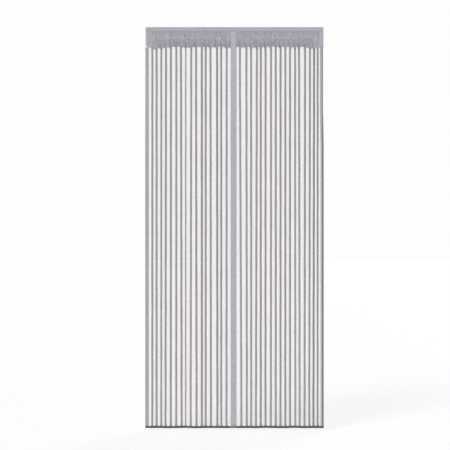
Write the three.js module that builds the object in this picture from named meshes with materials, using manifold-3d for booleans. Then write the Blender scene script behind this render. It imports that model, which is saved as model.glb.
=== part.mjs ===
// Magnetic screen door curtain, hanging closed, as seen from the room side.
// Millimetres, +Z up, the front faces -Y. The origin is the middle of the top edge,
// in the plane where the curtain's back lies against the door frame.

import * as THREE from 'three';
import { mergeVertices } from 'three/addons/utils/BufferGeometryUtils.js';
import Module from 'manifold-3d';

const wasm = await Module();
wasm.setup();

// Overall size, and the clearance that sewn pieces keep
const WIDTH = 892;
const HEIGHT = 2004;
const HALF = WIDTH / 2;
const GAP = 0.3;

// Net: a thin sheet with raised woven stripes, called ribs here
const NET_THICKNESS = 1;
const RIB_WIDTH = 9.5;
const RIB_RISE = 0.7;
const RIB_FLARE = 8;
const HEM_HEIGHT = 10;
const HEM_STEP = 0.1;

// Folded tapes: the wall is one layer, the slot between the layers takes the net's edge
const WALL = 0.9;
const BINDING_WIDTH = 16;
const BINDING_THICKNESS = 2 * (WALL + GAP) + NET_THICKNESS;
const TAPE_HEIGHT = 21;
const TAPE_THICKNESS = BINDING_THICKNESS + NET_THICKNESS + GAP;

// Strips along the two inner edges, which hold each other closed
const STRIP_LEFT = -19.85;
const STRIP_RIGHT = 9.65;
const STRIP_THICKNESS = 3;
const STRIP_EDGE = 1.2;

// Gathered heading band, with the tapes that close its two ends
const BAND_THICKNESS = 1.2;
const BAND_FOOT = -99;
const SEAM_LEVEL = -51;
const END_LEFT_WIDTH = 30;
const END_LEFT_FOOT = -96;
const END_RIGHT_WIDTH = 17;
const END_RIGHT_FOOT = -103;
const CORNER = 4;

// Depth planes, from the door frame's face forwards
const NET_PLANE = -BINDING_THICKNESS / 2;
const LAP_PLANE = NET_PLANE - NET_THICKNESS - GAP;
const BAND_PLANE = LAP_PLANE - NET_THICKNESS / 2 - RIB_RISE - GAP - BAND_THICKNESS / 2;

// Heights that several pieces share
const UNDER_TAPE = -TAPE_HEIGHT - GAP;
const HEM_TOP = -HEIGHT + HEM_HEIGHT;
const ABOVE_HEM = HEM_TOP + GAP;

// Ribs of the left panel: x under the heading, x at the foot, width
const LEFT_RIBS = [
  { top: -410.9, foot: -411.1, width: RIB_WIDTH },
  { top: -389.7, foot: -390.0, width: RIB_WIDTH },
  { top: -366.1, foot: -366.4, width: RIB_WIDTH },
  { top: -342.8, foot: -345.0, width: RIB_WIDTH },
  { top: -317.9, foot: -318.7, width: RIB_WIDTH },
  { top: -291.2, foot: -291.5, width: RIB_WIDTH },
  { top: -267.8, foot: -264.9, width: RIB_WIDTH },
  { top: -244.1, foot: -244.4, width: 6 },
  { top: -216.3, foot: -219.3, width: RIB_WIDTH },
  { top: -192.7, foot: -190.1, width: RIB_WIDTH },
  { top: -163.5, foot: -163.4, width: RIB_WIDTH },
  { top: -144.5, foot: -144.4, width: 8 },
  { top: -120.5, foot: -118.3, width: RIB_WIDTH },
  { top: -87.7, foot: -85.8, width: RIB_WIDTH },
  { top: -66.8, foot: -66.6, width: 8 },
  { top: -39.6, foot: -40.4, width: RIB_WIDTH },
];

// Ribs of the right panel, in the same columns
const RIGHT_RIBS = [
  { top: 26.9, foot: 34.0, width: 8.5 },
  { top: 59.0, foot: 61.5, width: RIB_WIDTH },
  { top: 82.5, foot: 83.0, width: 8 },
  { top: 111.7, foot: 106.7, width: RIB_WIDTH },
  { top: 130.8, foot: 130.9, width: 8 },
  { top: 155.1, foot: 154.6, width: RIB_WIDTH },
  { top: 182.1, foot: 181.4, width: RIB_WIDTH },
  { top: 205.8, foot: 205.6, width: RIB_WIDTH },
  { top: 229.8, foot: 229.4, width: RIB_WIDTH },
  { top: 253.8, foot: 253.4, width: RIB_WIDTH },
  { top: 277.3, foot: 277.4, width: RIB_WIDTH },
  { top: 302.1, foot: 304.1, width: RIB_WIDTH },
  { top: 322.2, foot: 325.1, width: 8 },
  { top: 352.3, foot: 349.6, width: RIB_WIDTH },
  { top: 377.1, foot: 373.3, width: RIB_WIDTH },
  { top: 399.2, foot: 394.3, width: 8 },
  { top: 415.3, foot: 415.0, width: 8 },
];

// Levels of the net, from its top edge inside the tape to the hem's fold.
// rise is how much of the ribs' height shows, flare how much of their spread,
// and hem marks the two levels between which the cloth is turned up double.
const NET_LEVELS = [
  { z: -2.6, rise: 0, flare: 0, hem: false },
  { z: -23, rise: 0, flare: 0, hem: false },
  { z: -32, rise: 1, flare: 0, hem: false },
  { z: -110, rise: 1, flare: 0, hem: false },
  { z: -200, rise: 1, flare: 0, hem: false },
  { z: -380, rise: 1, flare: 0, hem: false },
  { z: -640, rise: 1, flare: 0, hem: false },
  { z: -920, rise: 1, flare: 0, hem: false },
  { z: -1200, rise: 1, flare: 0, hem: false },
  { z: -1480, rise: 1, flare: 0, hem: false },
  { z: -1760, rise: 1, flare: 0, hem: false },
  { z: -1980, rise: 1, flare: 0, hem: false },
  { z: -1988, rise: 1, flare: 0.35, hem: false },
  { z: HEM_TOP + HEM_STEP, rise: 1, flare: 1, hem: false },
  { z: HEM_TOP, rise: 0, flare: 1, hem: true },
  { z: -HEIGHT, rise: 0, flare: 1, hem: true },
];

// Levels of the heading band: fold is the share of its full gathers,
// ridge is how far the stitched tuck stands out, wander moves the level with the seam,
// and scallop is how much of the lower edge's unevenness it takes.
const BAND_LEVELS = [
  { z: UNDER_TAPE, fold: 0.1, ridge: 0, wander: 0, scallop: 0 },
  { z: -35, fold: 0.3, ridge: 0, wander: 0.4, scallop: 0 },
  { z: SEAM_LEVEL + 5, fold: 0.2, ridge: 0, wander: 1, scallop: 0 },
  { z: SEAM_LEVEL, fold: 0.1, ridge: 1.4, wander: 1, scallop: 0 },
  { z: SEAM_LEVEL - 5, fold: 0.2, ridge: 0, wander: 1, scallop: 0 },
  { z: -76, fold: 0.7, ridge: 0, wander: 0.4, scallop: 0.4 },
  { z: BAND_FOOT, fold: 1, ridge: 0, wander: 0, scallop: 1 },
];

const FOLD_SMALLEST = 2.2;
const FOLD_SPREAD = 3;
const END_FOLD_BOOST = 1.5;
const SEAM_WANDER = 3;

// Soft vertical waves of the hanging net
const WAVE_CALM = 30;
const WAVE_BUILD = 70;
const WAVE_LONG = { height: 4.2, length: 138, phase: 0.6 };
const WAVE_SHORT = { height: 1.6, length: 76, phase: 2.1 };
const WAVE_DRIFT = 16;

const tapeCloth = new THREE.MeshStandardMaterial({ color: 0xaeacb6, roughness: 0.85 });
const bandCloth = new THREE.MeshStandardMaterial({ color: 0x9f9fa7, roughness: 0.9 });
const bindingCloth = new THREE.MeshStandardMaterial({ color: 0xa7a9ad, roughness: 0.88 });
const stripCloth = new THREE.MeshStandardMaterial({ color: 0xafb0b8, roughness: 0.8 });
const netCloth = new THREE.MeshStandardMaterial({ color: 0x9c979a, roughness: 0.8 });

// A repeatable number from 0 to 1 for each whole number, for hand-sewn unevenness
function uneven(index) {
  const value = Math.sin(index * 12.9898 + 4.1414) * 43758.5453;
  return value - Math.floor(value);
}

function blend(from, to, share) {
  return from + (to - from) * share;
}

function easeBetween(value, start, end) {
  return THREE.MathUtils.smoothstep(value, start, end);
}

// A sheet is a box of cloth, columns wide and rows high, whose points are moved into place.
// place(column, row, face) gives [x, y, z]; face is 1 on the front and -1 on the back.
function sheet(columns, rows, place) {
  const box = new THREE.BoxGeometry(1, 1, 1, columns, rows, 1);
  box.deleteAttribute('normal');
  box.deleteAttribute('uv');
  const cloth = mergeVertices(box);
  const points = cloth.attributes.position;
  for (let i = 0; i < points.count; i += 1) {
    const column = Math.round((points.getX(i) + 0.5) * columns);
    const row = Math.round((0.5 - points.getY(i)) * rows);
    const face = Math.sign(points.getZ(i));
    points.setXYZ(i, ...place(column, row, face));
  }
  cloth.computeVertexNormals();
  return cloth;
}

// Section of a tape folded in half: the fold is at 0, the open edges at width,
// the back face at 0 and the front face at thickness
function foldedSection(width, thickness) {
  const radius = thickness / 2;
  const section = new THREE.Shape();
  section.moveTo(radius, 0);
  section.lineTo(width, 0);
  section.lineTo(width, WALL);
  section.lineTo(radius, WALL);
  section.absarc(radius, radius, radius - WALL, -Math.PI / 2, Math.PI / 2, true);
  section.lineTo(width, thickness - WALL);
  section.lineTo(width, thickness);
  section.lineTo(radius, thickness);
  section.absarc(radius, radius, radius, Math.PI / 2, -Math.PI / 2, false);
  section.closePath();
  return section;
}

// A rectangle from (left, bottom) to (right, top), each corner rounded by its own radius
function roundedOutline(left, right, bottom, top, corners) {
  const { topLeft = 0, topRight = 0, bottomLeft = 0, bottomRight = 0 } = corners;
  const quarter = Math.PI / 2;
  const outline = new THREE.Shape();
  outline.moveTo(left + bottomLeft, bottom);
  outline.lineTo(right - bottomRight, bottom);
  if (bottomRight) {
    outline.absarc(right - bottomRight, bottom + bottomRight, bottomRight, -quarter, 0);
  }
  outline.lineTo(right, top - topRight);
  if (topRight) {
    outline.absarc(right - topRight, top - topRight, topRight, 0, quarter);
  }
  outline.lineTo(left + topLeft, top);
  if (topLeft) {
    outline.absarc(left + topLeft, top - topLeft, topLeft, quarter, 2 * quarter);
  }
  outline.lineTo(left, bottom + bottomLeft);
  if (bottomLeft) {
    outline.absarc(left + bottomLeft, bottom + bottomLeft, bottomLeft, 2 * quarter, 3 * quarter);
  }
  outline.closePath();
  return outline;
}

// Extrudes a section; across, through and along are where its x, y and depth point
function extrude(section, length, start, across, through, along) {
  const settings = { depth: length, bevelEnabled: false, curveSegments: 3 };
  const solid = new THREE.ExtrudeGeometry(section, settings);
  const place = new THREE.Matrix4().makeBasis(across, through, along);
  place.setPosition(start);
  solid.applyMatrix4(place);
  return solid;
}

const RIGHT = new THREE.Vector3(1, 0, 0);
const LEFT = new THREE.Vector3(-1, 0, 0);
const FORWARD = new THREE.Vector3(0, -1, 0);
const UP = new THREE.Vector3(0, 0, 1);
const DOWN = new THREE.Vector3(0, 0, -1);

function toSolid(geometry) {
  const bare = geometry.clone();
  bare.deleteAttribute('normal');
  bare.deleteAttribute('uv');
  const merged = mergeVertices(bare);
  const vertProperties = new Float32Array(merged.attributes.position.array);
  const triVerts = new Uint32Array(merged.index.array);
  return new wasm.Manifold(new wasm.Mesh({ numProp: 3, vertProperties, triVerts }));
}

function toGeometry(solid) {
  const { vertProperties, triVerts } = solid.getMesh();
  const geometry = new THREE.BufferGeometry();
  geometry.setAttribute('position', new THREE.BufferAttribute(vertProperties, 3));
  geometry.setIndex(new THREE.BufferAttribute(triVerts, 1));
  geometry.computeVertexNormals();
  return geometry;
}

// Keeps what lies inside an outline drawn on the front, to round a tape's corners
function trimTo(geometry, outline) {
  const depth = 40;
  const plate = extrude(outline, depth, new THREE.Vector3(0, depth / 2, 0), RIGHT, UP, FORWARD);
  return toGeometry(toSolid(geometry).intersect(toSolid(plate)));
}

// Side tapes: folded round the left or right outer edge, between two heights
function leftTape(width, thickness, top, bottom, corners) {
  const start = new THREE.Vector3(-HALF, 0, top);
  const section = foldedSection(width, thickness);
  const tape = extrude(section, top - bottom, start, RIGHT, FORWARD, DOWN);
  return trimTo(tape, roundedOutline(-HALF, -HALF + width, bottom, top, corners));
}

function rightTape(width, thickness, top, bottom, corners) {
  const start = new THREE.Vector3(HALF, 0, bottom);
  const section = foldedSection(width, thickness);
  const tape = extrude(section, top - bottom, start, LEFT, FORWARD, UP);
  return trimTo(tape, roundedOutline(HALF - width, HALF, bottom, top, corners));
}

function headingTape() {
  const start = new THREE.Vector3(HALF, 0, 0);
  const section = foldedSection(TAPE_HEIGHT, TAPE_THICKNESS);
  const tape = extrude(section, WIDTH, start, DOWN, FORWARD, LEFT);
  const corners = { topLeft: CORNER / 2, topRight: CORNER };
  return trimTo(tape, roundedOutline(-HALF, HALF, -TAPE_HEIGHT, 0, corners));
}

// A strip is a flat band with rounded long edges; front is the depth of its front face
function strip(front) {
  const back = front + STRIP_THICKNESS;
  const edges = {
    topLeft: STRIP_EDGE,
    topRight: STRIP_EDGE,
    bottomLeft: STRIP_EDGE,
    bottomRight: STRIP_EDGE,
  };
  const section = roundedOutline(STRIP_LEFT, STRIP_RIGHT, -back, -front, edges);
  const start = new THREE.Vector3(0, 0, UNDER_TAPE);
  return extrude(section, UNDER_TAPE - ABOVE_HEM, start, RIGHT, FORWARD, DOWN);
}

// Height of the hanging waves at a point of the net
function wave(x, z) {
  const fromEdge = HALF - Math.abs(x);
  const fromStrip = x < 0 ? STRIP_LEFT - x : x - STRIP_RIGHT;
  const calm = Math.min(fromEdge, fromStrip);
  const across = easeBetween(calm, WAVE_CALM, WAVE_CALM + WAVE_BUILD);
  const down = 0.7 * easeBetween(-z, 110, 640) + 0.3 * easeBetween(-z, 640, 1480);
  const drift = WAVE_DRIFT * Math.sin(z / 620);
  const turn = 2 * Math.PI;
  const long = WAVE_LONG.height * Math.sin((turn * (x - drift)) / WAVE_LONG.length + WAVE_LONG.phase);
  const short = WAVE_SHORT.height * Math.sin((turn * x) / WAVE_SHORT.length + WAVE_SHORT.phase);
  return across * down * (long + short);
}

function ribCentre(rib, z) {
  const share = THREE.MathUtils.clamp((-z - 110) / (HEIGHT - 230), 0, 1);
  return blend(rib.top, rib.foot, share);
}

// Columns of a net panel: four points over each rib, and plain ones at its edges.
// Each column gives its x at a level, and its share of the rib's rise.
function ribColumns(rib) {
  const stations = [
    { across: -0.5, rise: 0 },
    { across: -0.22, rise: 1 },
    { across: 0.22, rise: 1 },
    { across: 0.5, rise: 0 },
  ];
  return stations.map(({ across, rise }) => ({
    x: (level) => ribCentre(rib, level.z) + across * (rib.width + RIB_FLARE * level.flare),
    rise,
  }));
}

function plainColumn(x, hemX = x) {
  return { x: (level) => (level.hem ? hemX : x), rise: 0 };
}

// plane(x) is the net's middle depth; hemFront and hemBack are the hem's half thicknesses
function netPanel(columns, plane, hemFront, hemBack) {
  return sheet(columns.length - 1, NET_LEVELS.length - 1, (c, r, face) => {
    const level = NET_LEVELS[r];
    const x = columns[c].x(level);
    const middle = plane(x) + wave(x, level.z);
    const cloth = NET_THICKNESS / 2 + RIB_RISE * columns[c].rise * level.rise;
    const hem = face > 0 ? hemFront(x) : hemBack(x);
    const half = level.hem ? hem : cloth;
    return [x, middle - face * half, level.z];
  });
}

const EDGE_IN_FOLD = 2;
const BINDING_INNER = HALF - BINDING_WIDTH;
const HEM_HALF = NET_THICKNESS / 2 + RIB_RISE;
const HEM_HALF_EDGE = BINDING_THICKNESS / 2;
const HEM_HALF_LAP = NET_THICKNESS / 2;
const HEM_HALF_STRIP = NET_THICKNESS / 2 + GAP + STRIP_THICKNESS;

// The hem is as thick as the binding at the outer edge, and thinner between
function hemAtEdge(x) {
  return blend(HEM_HALF, HEM_HALF_EDGE, easeBetween(Math.abs(x), BINDING_INNER - 14, BINDING_INNER));
}

function leftNet() {
  const columns = [
    plainColumn(-HALF + EDGE_IN_FOLD, -HALF),
    plainColumn(-BINDING_INNER),
    ...LEFT_RIBS.flatMap(ribColumns),
    plainColumn(STRIP_LEFT - GAP),
    plainColumn(STRIP_RIGHT),
  ];
  const plane = (x) => blend(NET_PLANE, LAP_PLANE, easeBetween(x, -BINDING_INNER, STRIP_LEFT - 15));
  const behindStrip = (x) => x > STRIP_LEFT - 1;
  const hemFront = (x) => (behindStrip(x) ? HEM_HALF_STRIP : hemAtEdge(x));
  const hemBack = (x) => (behindStrip(x) ? HEM_HALF_LAP : hemAtEdge(x));
  return netPanel(columns, plane, hemFront, hemBack);
}

function rightNet() {
  const columns = [
    plainColumn(STRIP_LEFT),
    plainColumn(STRIP_RIGHT + GAP),
    ...RIGHT_RIBS.flatMap(ribColumns),
    plainColumn(BINDING_INNER),
    plainColumn(HALF - EDGE_IN_FOLD, HALF),
  ];
  const plane = () => NET_PLANE;
  const behindStrip = (x) => x < STRIP_RIGHT + 1;
  const hemFront = (x) => (behindStrip(x) ? HEM_HALF_LAP : hemAtEdge(x));
  const hemBack = (x) => (behindStrip(x) ? HEM_HALF_STRIP : hemAtEdge(x));
  return netPanel(columns, plane, hemFront, hemBack);
}

// Columns of a heading band: a gather stands out between each two ribs.
// crest is 0 over a rib and 1 in the middle of the gap, and seed sets the gather's size.
function bandColumns(ribs, left, right) {
  const inside = ribs.map((rib) => rib.top).filter((x) => x > left + 3 && x < right - 3);
  const stops = [left, ...inside, right];
  const columns = [];
  stops.slice(0, -1).forEach((start, index) => {
    const seed = index + Math.round(start);
    [0, 0.25, 0.5, 0.75].forEach((share) => {
      const crest = Math.sin(Math.PI * share) ** 2;
      columns.push({ x: blend(start, stops[index + 1], share), crest, seed });
    });
  });
  columns.push({ x: right, crest: 0, seed: 0 });
  return columns;
}

// How far the band's lower edge hangs below its shortest place
function scallop(column) {
  const overRib = 3.5 * (1 - column.crest) + 3 * uneven(column.seed);
  const towardsEnds = 5 * easeBetween(Math.abs(column.x), 340, 410);
  return overRib + towardsEnds;
}

function headingBand(ribs, left, right) {
  const columns = bandColumns(ribs, left, right);
  return sheet(columns.length - 1, BAND_LEVELS.length - 1, (c, r, face) => {
    const level = BAND_LEVELS[r];
    const column = columns[c];
    const boost = 1 + (END_FOLD_BOOST - 1) * easeBetween(column.x, 370, 395);
    const gather = (FOLD_SMALLEST + FOLD_SPREAD * uneven(column.seed)) * boost;
    const stand = gather * level.fold * column.crest + level.ridge;
    const wander = SEAM_WANDER * Math.sin(column.x / 31) * Math.cos(column.x / 87);
    const z = level.z + level.wander * wander - level.scallop * scallop(column);
    return [column.x, BAND_PLANE - stand - (face * BAND_THICKNESS) / 2, z];
  });
}

const curtain = new THREE.Group();

function add(name, geometry, material) {
  const mesh = new THREE.Mesh(geometry, material);
  mesh.name = name;
  curtain.add(mesh);
}

add('left_net', leftNet(), netCloth);
add('right_net', rightNet(), netCloth);
add('heading_tape', headingTape(), tapeCloth);

const bandLeft = -HALF + END_LEFT_WIDTH + GAP;
const bandRight = HALF - END_RIGHT_WIDTH - GAP;
add('heading_band_left', headingBand(LEFT_RIBS, bandLeft, STRIP_LEFT - GAP), bandCloth);
add('heading_band_right', headingBand(RIGHT_RIBS, STRIP_RIGHT + GAP, bandRight), bandCloth);

const endLeft = { bottomLeft: CORNER };
const endRight = { bottomRight: CORNER / 2 };
add(
  'heading_end_left',
  leftTape(END_LEFT_WIDTH, TAPE_THICKNESS, UNDER_TAPE, END_LEFT_FOOT, endLeft),
  tapeCloth,
);
add(
  'heading_end_right',
  rightTape(END_RIGHT_WIDTH, TAPE_THICKNESS, UNDER_TAPE, END_RIGHT_FOOT, endRight),
  tapeCloth,
);

const sideLeft = { topLeft: CORNER };
const sideRight = { topRight: CORNER / 2 };
add(
  'side_binding_left',
  leftTape(BINDING_WIDTH, BINDING_THICKNESS, END_LEFT_FOOT - GAP, ABOVE_HEM, sideLeft),
  bindingCloth,
);
add(
  'side_binding_right',
  rightTape(BINDING_WIDTH, BINDING_THICKNESS, END_RIGHT_FOOT - GAP, ABOVE_HEM, sideRight),
  bindingCloth,
);

const frontStripFace = LAP_PLANE - NET_THICKNESS / 2 - GAP - STRIP_THICKNESS;
const backStripFace = NET_PLANE + NET_THICKNESS / 2 + GAP;
add('centre_strip_front', strip(frontStripFace), stripCloth);
add('centre_strip_back', strip(backStripFace), stripCloth);

export default curtain;
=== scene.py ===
# %% [markdown]
# # A magnetic screen door curtain
# Two sheer net panels with raised woven stripes hang from a gathered heading. They meet at a
# closing strip a little left of the middle, and narrow tapes bind their outer edges. The packed
# model gives every size and place, and this file gives the cloth its threads, folds and finish.

# %% Load the frame
import math
from collections import namedtuple

import bmesh
import bpy
import numpy as np
from mathutils import Matrix, Vector, noise


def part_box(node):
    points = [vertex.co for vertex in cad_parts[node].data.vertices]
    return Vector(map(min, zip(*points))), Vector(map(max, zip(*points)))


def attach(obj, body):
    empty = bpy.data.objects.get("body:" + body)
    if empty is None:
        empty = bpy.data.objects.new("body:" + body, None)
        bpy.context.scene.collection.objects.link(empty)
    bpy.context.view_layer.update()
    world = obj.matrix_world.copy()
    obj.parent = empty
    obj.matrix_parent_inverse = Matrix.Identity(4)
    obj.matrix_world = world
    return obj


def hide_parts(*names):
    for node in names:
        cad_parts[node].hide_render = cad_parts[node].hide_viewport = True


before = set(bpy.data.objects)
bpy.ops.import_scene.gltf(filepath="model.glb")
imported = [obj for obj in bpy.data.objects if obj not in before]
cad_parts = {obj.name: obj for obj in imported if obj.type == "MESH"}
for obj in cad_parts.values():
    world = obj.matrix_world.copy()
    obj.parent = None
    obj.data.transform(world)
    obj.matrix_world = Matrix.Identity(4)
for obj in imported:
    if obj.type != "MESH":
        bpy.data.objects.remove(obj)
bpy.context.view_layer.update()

MM = 0.001


def box_mm(node):
    """The lowest and the highest corner of a node of the frame, in millimetres."""
    low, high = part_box(node)
    return np.round(np.array(low) / MM, 2), np.round(np.array(high) / MM, 2)


print("nodes of the frame:", sorted(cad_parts))

# %% [markdown]
# The driving sizes are read from the frame, so that every piece lies where its solid does. The
# front faces -Y, and y = 0 is the plane where the curtain's back lies against the door frame.

# %% Sizes that several pieces share
tape_low, tape_high = box_mm("heading_tape")
strip_low, strip_high = box_mm("centre_strip_front")
binding_low, _ = box_mm("side_binding_left")
net_low, _ = box_mm("left_net")

HALF = tape_high[0]
FOOT = net_low[2]
TAPE_EDGE = tape_low[2]
STRIP_LEFT = strip_low[0]
STRIP_RIGHT = strip_high[0]
STRIP_TOP = strip_high[2]
STRIP_FOOT = strip_low[2]
GAP = 0.3
WALL = 0.9
NET_HALF = 0.5
RIB_RISE = 0.7
NET_PLANE = binding_low[1] / 2
LAP_PLANE = strip_high[1] + GAP + NET_HALF
print("half width", HALF, "foot", FOOT, "net plane", NET_PLANE, "lap plane", LAP_PLANE)

# %% [markdown]
# The picture is square and seen straight on, from half way up. A long lens keeps the stripes
# parallel. The camera stands as far back as makes one pixel cover five millimetres, and a little
# to the side, which puts the curtain where it is in the picture.

# %% The camera
FRAME_PIXELS = 450
PIXEL_MM = 5.0
MIDDLE_PIXEL = (234.57, 227.6)
LENS_MM = 100
SENSOR_MM = 36

frame_middle = FRAME_PIXELS / 2
camera_x = -(MIDDLE_PIXEL[0] - frame_middle) * PIXEL_MM
camera_z = FOOT / 2 + (MIDDLE_PIXEL[1] - frame_middle) * PIXEL_MM
distance = FRAME_PIXELS * PIXEL_MM * LENS_MM / SENSOR_MM

bpy.ops.object.select_all(action="DESELECT")
bpy.ops.object.camera_add(
    location=(camera_x * MM, -distance * MM, camera_z * MM), rotation=(math.pi / 2, 0, 0)
)
camera = bpy.context.object
camera.name = "camera"
camera.data.lens = LENS_MM
camera.data.sensor_width = SENSOR_MM
camera.data.clip_end = 200
bpy.context.scene.camera = camera
print("camera", round(distance * MM, 3), "m in front of the curtain")

# %% [markdown]
# Materials are built from a few nodes, and one small function adds a node with its settings and
# its inputs. Colours are written as sRGB hex values, as a colour picker shows them, and turned to
# the linear values that light is reckoned in.


# %% Helpers for colours and nodes
def linear(code):
    """An sRGB hex colour as linear red, green, blue and alpha."""
    parts = [int(code[i : i + 2], 16) / 255 for i in (1, 3, 5)]
    return (*[p / 12.92 if p <= 0.04045 else ((p + 0.055) / 1.055) ** 2.4 for p in parts], 1.0)


def add_node(tree, kind, inputs=None, **settings):
    """Adds a node. settings are its own choices, inputs the values or links of its sockets."""
    node = tree.nodes.new(kind)
    for name, value in settings.items():
        setattr(node, name, value)
    for name, value in (inputs or {}).items():
        if isinstance(value, bpy.types.NodeSocket):
            tree.links.new(value, node.inputs[name])
        else:
            node.inputs[name].default_value = value
    return node


print("white paper in linear light:", [round(v, 3) for v in linear("#fdfdfd")])

# %% [markdown]
# The studio is a plain pale floor under an even white sky. The floor also glows a little, as a
# light table does, so that shadows on it stay faint. A broad, soft sun from the upper left models
# the folds, a weak one from the right fills them, and one from behind lights the back. The sky that
# the camera sees is paper white, while it lights the cloth far less, so that the suns tell.

# %% Floor and light
FLOOR_DROP = 12
FLOOR_SIZE = 60
PAPER = linear("#fdfdfd")
FLOOR_PAINT = linear("#8f8f8f")
FLOOR_GLOW = 0.74
SKY_LIGHT = 0.2

bpy.ops.mesh.primitive_plane_add(size=FLOOR_SIZE, location=(0, 0, (FOOT - FLOOR_DROP) * MM))
floor = bpy.context.object
floor.name = "floor"
floor_glass = bpy.data.materials.new("frosted_floor_of_a_light_table")
floor_glass.use_nodes = True
floor_look = {"Base Color": FLOOR_PAINT, "Roughness": 0.9}
floor_look |= {"Emission Color": PAPER, "Emission Strength": FLOOR_GLOW}
for socket, value in floor_look.items():
    floor_glass.node_tree.nodes["Principled BSDF"].inputs[socket].default_value = value
floor.data.materials.append(floor_glass)

world = bpy.data.worlds.new("light_tent")
world.use_nodes = True
world.node_tree.nodes.clear()
ray = add_node(world.node_tree, "ShaderNodeLightPath")
seen = add_node(world.node_tree, "ShaderNodeBackground", {"Color": PAPER, "Strength": 1.0})
lit = add_node(world.node_tree, "ShaderNodeBackground", {"Color": PAPER, "Strength": SKY_LIGHT})
sky = add_node(
    world.node_tree,
    "ShaderNodeMixShader",
    {0: ray.outputs["Is Camera Ray"], 1: lit.outputs[0], 2: seen.outputs[0]},
)
add_node(world.node_tree, "ShaderNodeOutputWorld", {"Surface": sky.outputs[0]})
bpy.context.scene.world = world
bpy.context.scene.view_settings.view_transform = "Standard"


def add_sun(name, strength, turned_right, height, softness):
    """A sun whose light comes from that many degrees right of the camera, and above it."""
    bpy.ops.object.light_add(
        type="SUN", rotation=(math.radians(90 - height), 0, math.radians(turned_right))
    )
    sun = bpy.context.object
    sun.name = name
    sun.data.energy = strength * math.pi
    sun.data.angle = math.radians(softness)


add_sun("key_light", 0.62, turned_right=-38, height=42, softness=24)
add_sun("fill_light", 0.05, turned_right=50, height=20, softness=50)
add_sun("back_light", 0.35, turned_right=150, height=35, softness=30)

# %% [markdown]
# Every cloth here is polyester: a matt yarn with a faint sheen where it faces away. What tells
# one cloth from another is its colour and its weave. A plain weave is drawn as raised dots where
# the yarns cross, with slubs and a slight mottle, as yarn takes up dye unevenly. The attribute
# named tone scales the colour at each place on a piece. It holds the cloth's own uneven colour,
# and also painted light and shade: painted shade in grooves and creases and under the tape, and
# painted highlights on folds and crests.
# The crossings are drawn at about twice their real spacing, because real ones are too fine to show.
# A wave texture of scale 1 has 20 / (2 pi) bands in a metre, and a weave has one for two yarns.


# %% The woven polyester finish
WAVE_TURNS = 20 / (2 * math.pi)


def woven_polyester(name, colour, spacing, relief, roughness=0.85, mottle=0.05, sheen=0.15):
    """Matt woven cloth; spacing and relief are in millimetres."""
    material = bpy.data.materials.new(name)
    material.use_nodes = True
    tree = material.node_tree
    tree.nodes.clear()
    place = add_node(tree, "ShaderNodeTexCoord").outputs["Object"]
    scale = 1 / (WAVE_TURNS * 2 * spacing * MM)
    yarns = []
    for direction in ("X", "Z"):
        wave_settings = {"wave_type": "BANDS", "bands_direction": direction}
        inputs = {"Vector": place, "Scale": scale, "Distortion": 0.6, "Detail": 1.0}
        yarns.append(add_node(tree, "ShaderNodeTexWave", inputs, **wave_settings))
    crossing = add_node(
        tree, "ShaderNodeMath", {0: yarns[0].outputs[1], 1: yarns[1].outputs[1]}, operation="MULTIPLY"
    )
    slub = add_node(tree, "ShaderNodeTexNoise", {"Vector": place, "Scale": 0.35 / (spacing * MM)})
    height = add_node(
        tree, "ShaderNodeMath", {0: crossing.outputs[0], 1: slub.outputs["Fac"]}, operation="ADD"
    )
    bump = add_node(
        tree, "ShaderNodeBump", {"Strength": 0.6, "Distance": relief * MM, "Height": height.outputs[0]}
    )
    cloud = add_node(tree, "ShaderNodeTexNoise", {"Vector": place, "Scale": 45.0, "Detail": 3.0})
    ranges = {"From Min": 0.3, "From Max": 0.7, "To Min": 1 - mottle, "To Max": 1 + mottle}
    shade = add_node(tree, "ShaderNodeMapRange", {"Value": cloud.outputs["Fac"], **ranges})
    # The tone attribute holds the cloth's own uneven colour, and also painted light and shade.
    tone = add_node(tree, "ShaderNodeAttribute", attribute_name="tone")
    share = add_node(
        tree, "ShaderNodeMath", {0: shade.outputs[0], 1: tone.outputs["Fac"]}, operation="MULTIPLY"
    )
    dyed_with_painted_light = add_node(
        tree, "ShaderNodeVectorMath", {0: linear(colour)[:3], "Scale": share.outputs[0]}, operation="SCALE"
    )
    finish = {"Roughness": roughness, "Sheen Weight": sheen, "Sheen Roughness": 0.5}
    links = {"Base Color": dyed_with_painted_light.outputs[0], "Normal": bump.outputs[0]}
    cloth = add_node(tree, "ShaderNodeBsdfPrincipled", {**finish, **links})
    add_node(tree, "ShaderNodeOutputMaterial", {"Surface": cloth.outputs[0]})
    return material


ground_yarn = woven_polyester("fine_polyester_net_yarn", "#b4b2b3", spacing=0.4, relief=0.02)
stripe_cloth = woven_polyester("dense_woven_polyester_stripe", "#9f999c", spacing=0.8, relief=0.12)
hem_cloth = woven_polyester("doubled_net_hem", "#50524c", spacing=0.9, relief=0.15, mottle=0.12)
tape_cloth = woven_polyester("plain_woven_heading_tape", "#b1afb9", spacing=0.7, relief=0.1)
band_cloth = woven_polyester("gathered_polyester_band", "#a5a5ad", spacing=0.6, relief=0.1)
binding_cloth = woven_polyester("folded_polyester_binding", "#a7a9ad", spacing=0.7, relief=0.1)
strip_cloth = woven_polyester("closing_strip_casing", "#b1b2ba", spacing=0.6, relief=0.08)
sewing_thread = woven_polyester("polyester_sewing_thread", "#b9b9be", spacing=0.3, relief=0.05)
print("the thread of the ground net is", ground_yarn.name)

# %% [markdown]
# Long cloth pieces are made in mesh code. A closed body is a stack of rings, such as the sections
# of a thread or of a stripe, with a face over each end. A piece's points are reckoned in
# millimetres and stored in metres, and its object stays at the origin.


# %% Helpers that make meshes
def select_only(piece):
    """Makes a piece the only selected object, and the active one."""
    bpy.ops.object.select_all(action="DESELECT")
    piece.select_set(True)
    bpy.context.view_layer.objects.active = piece


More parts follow.
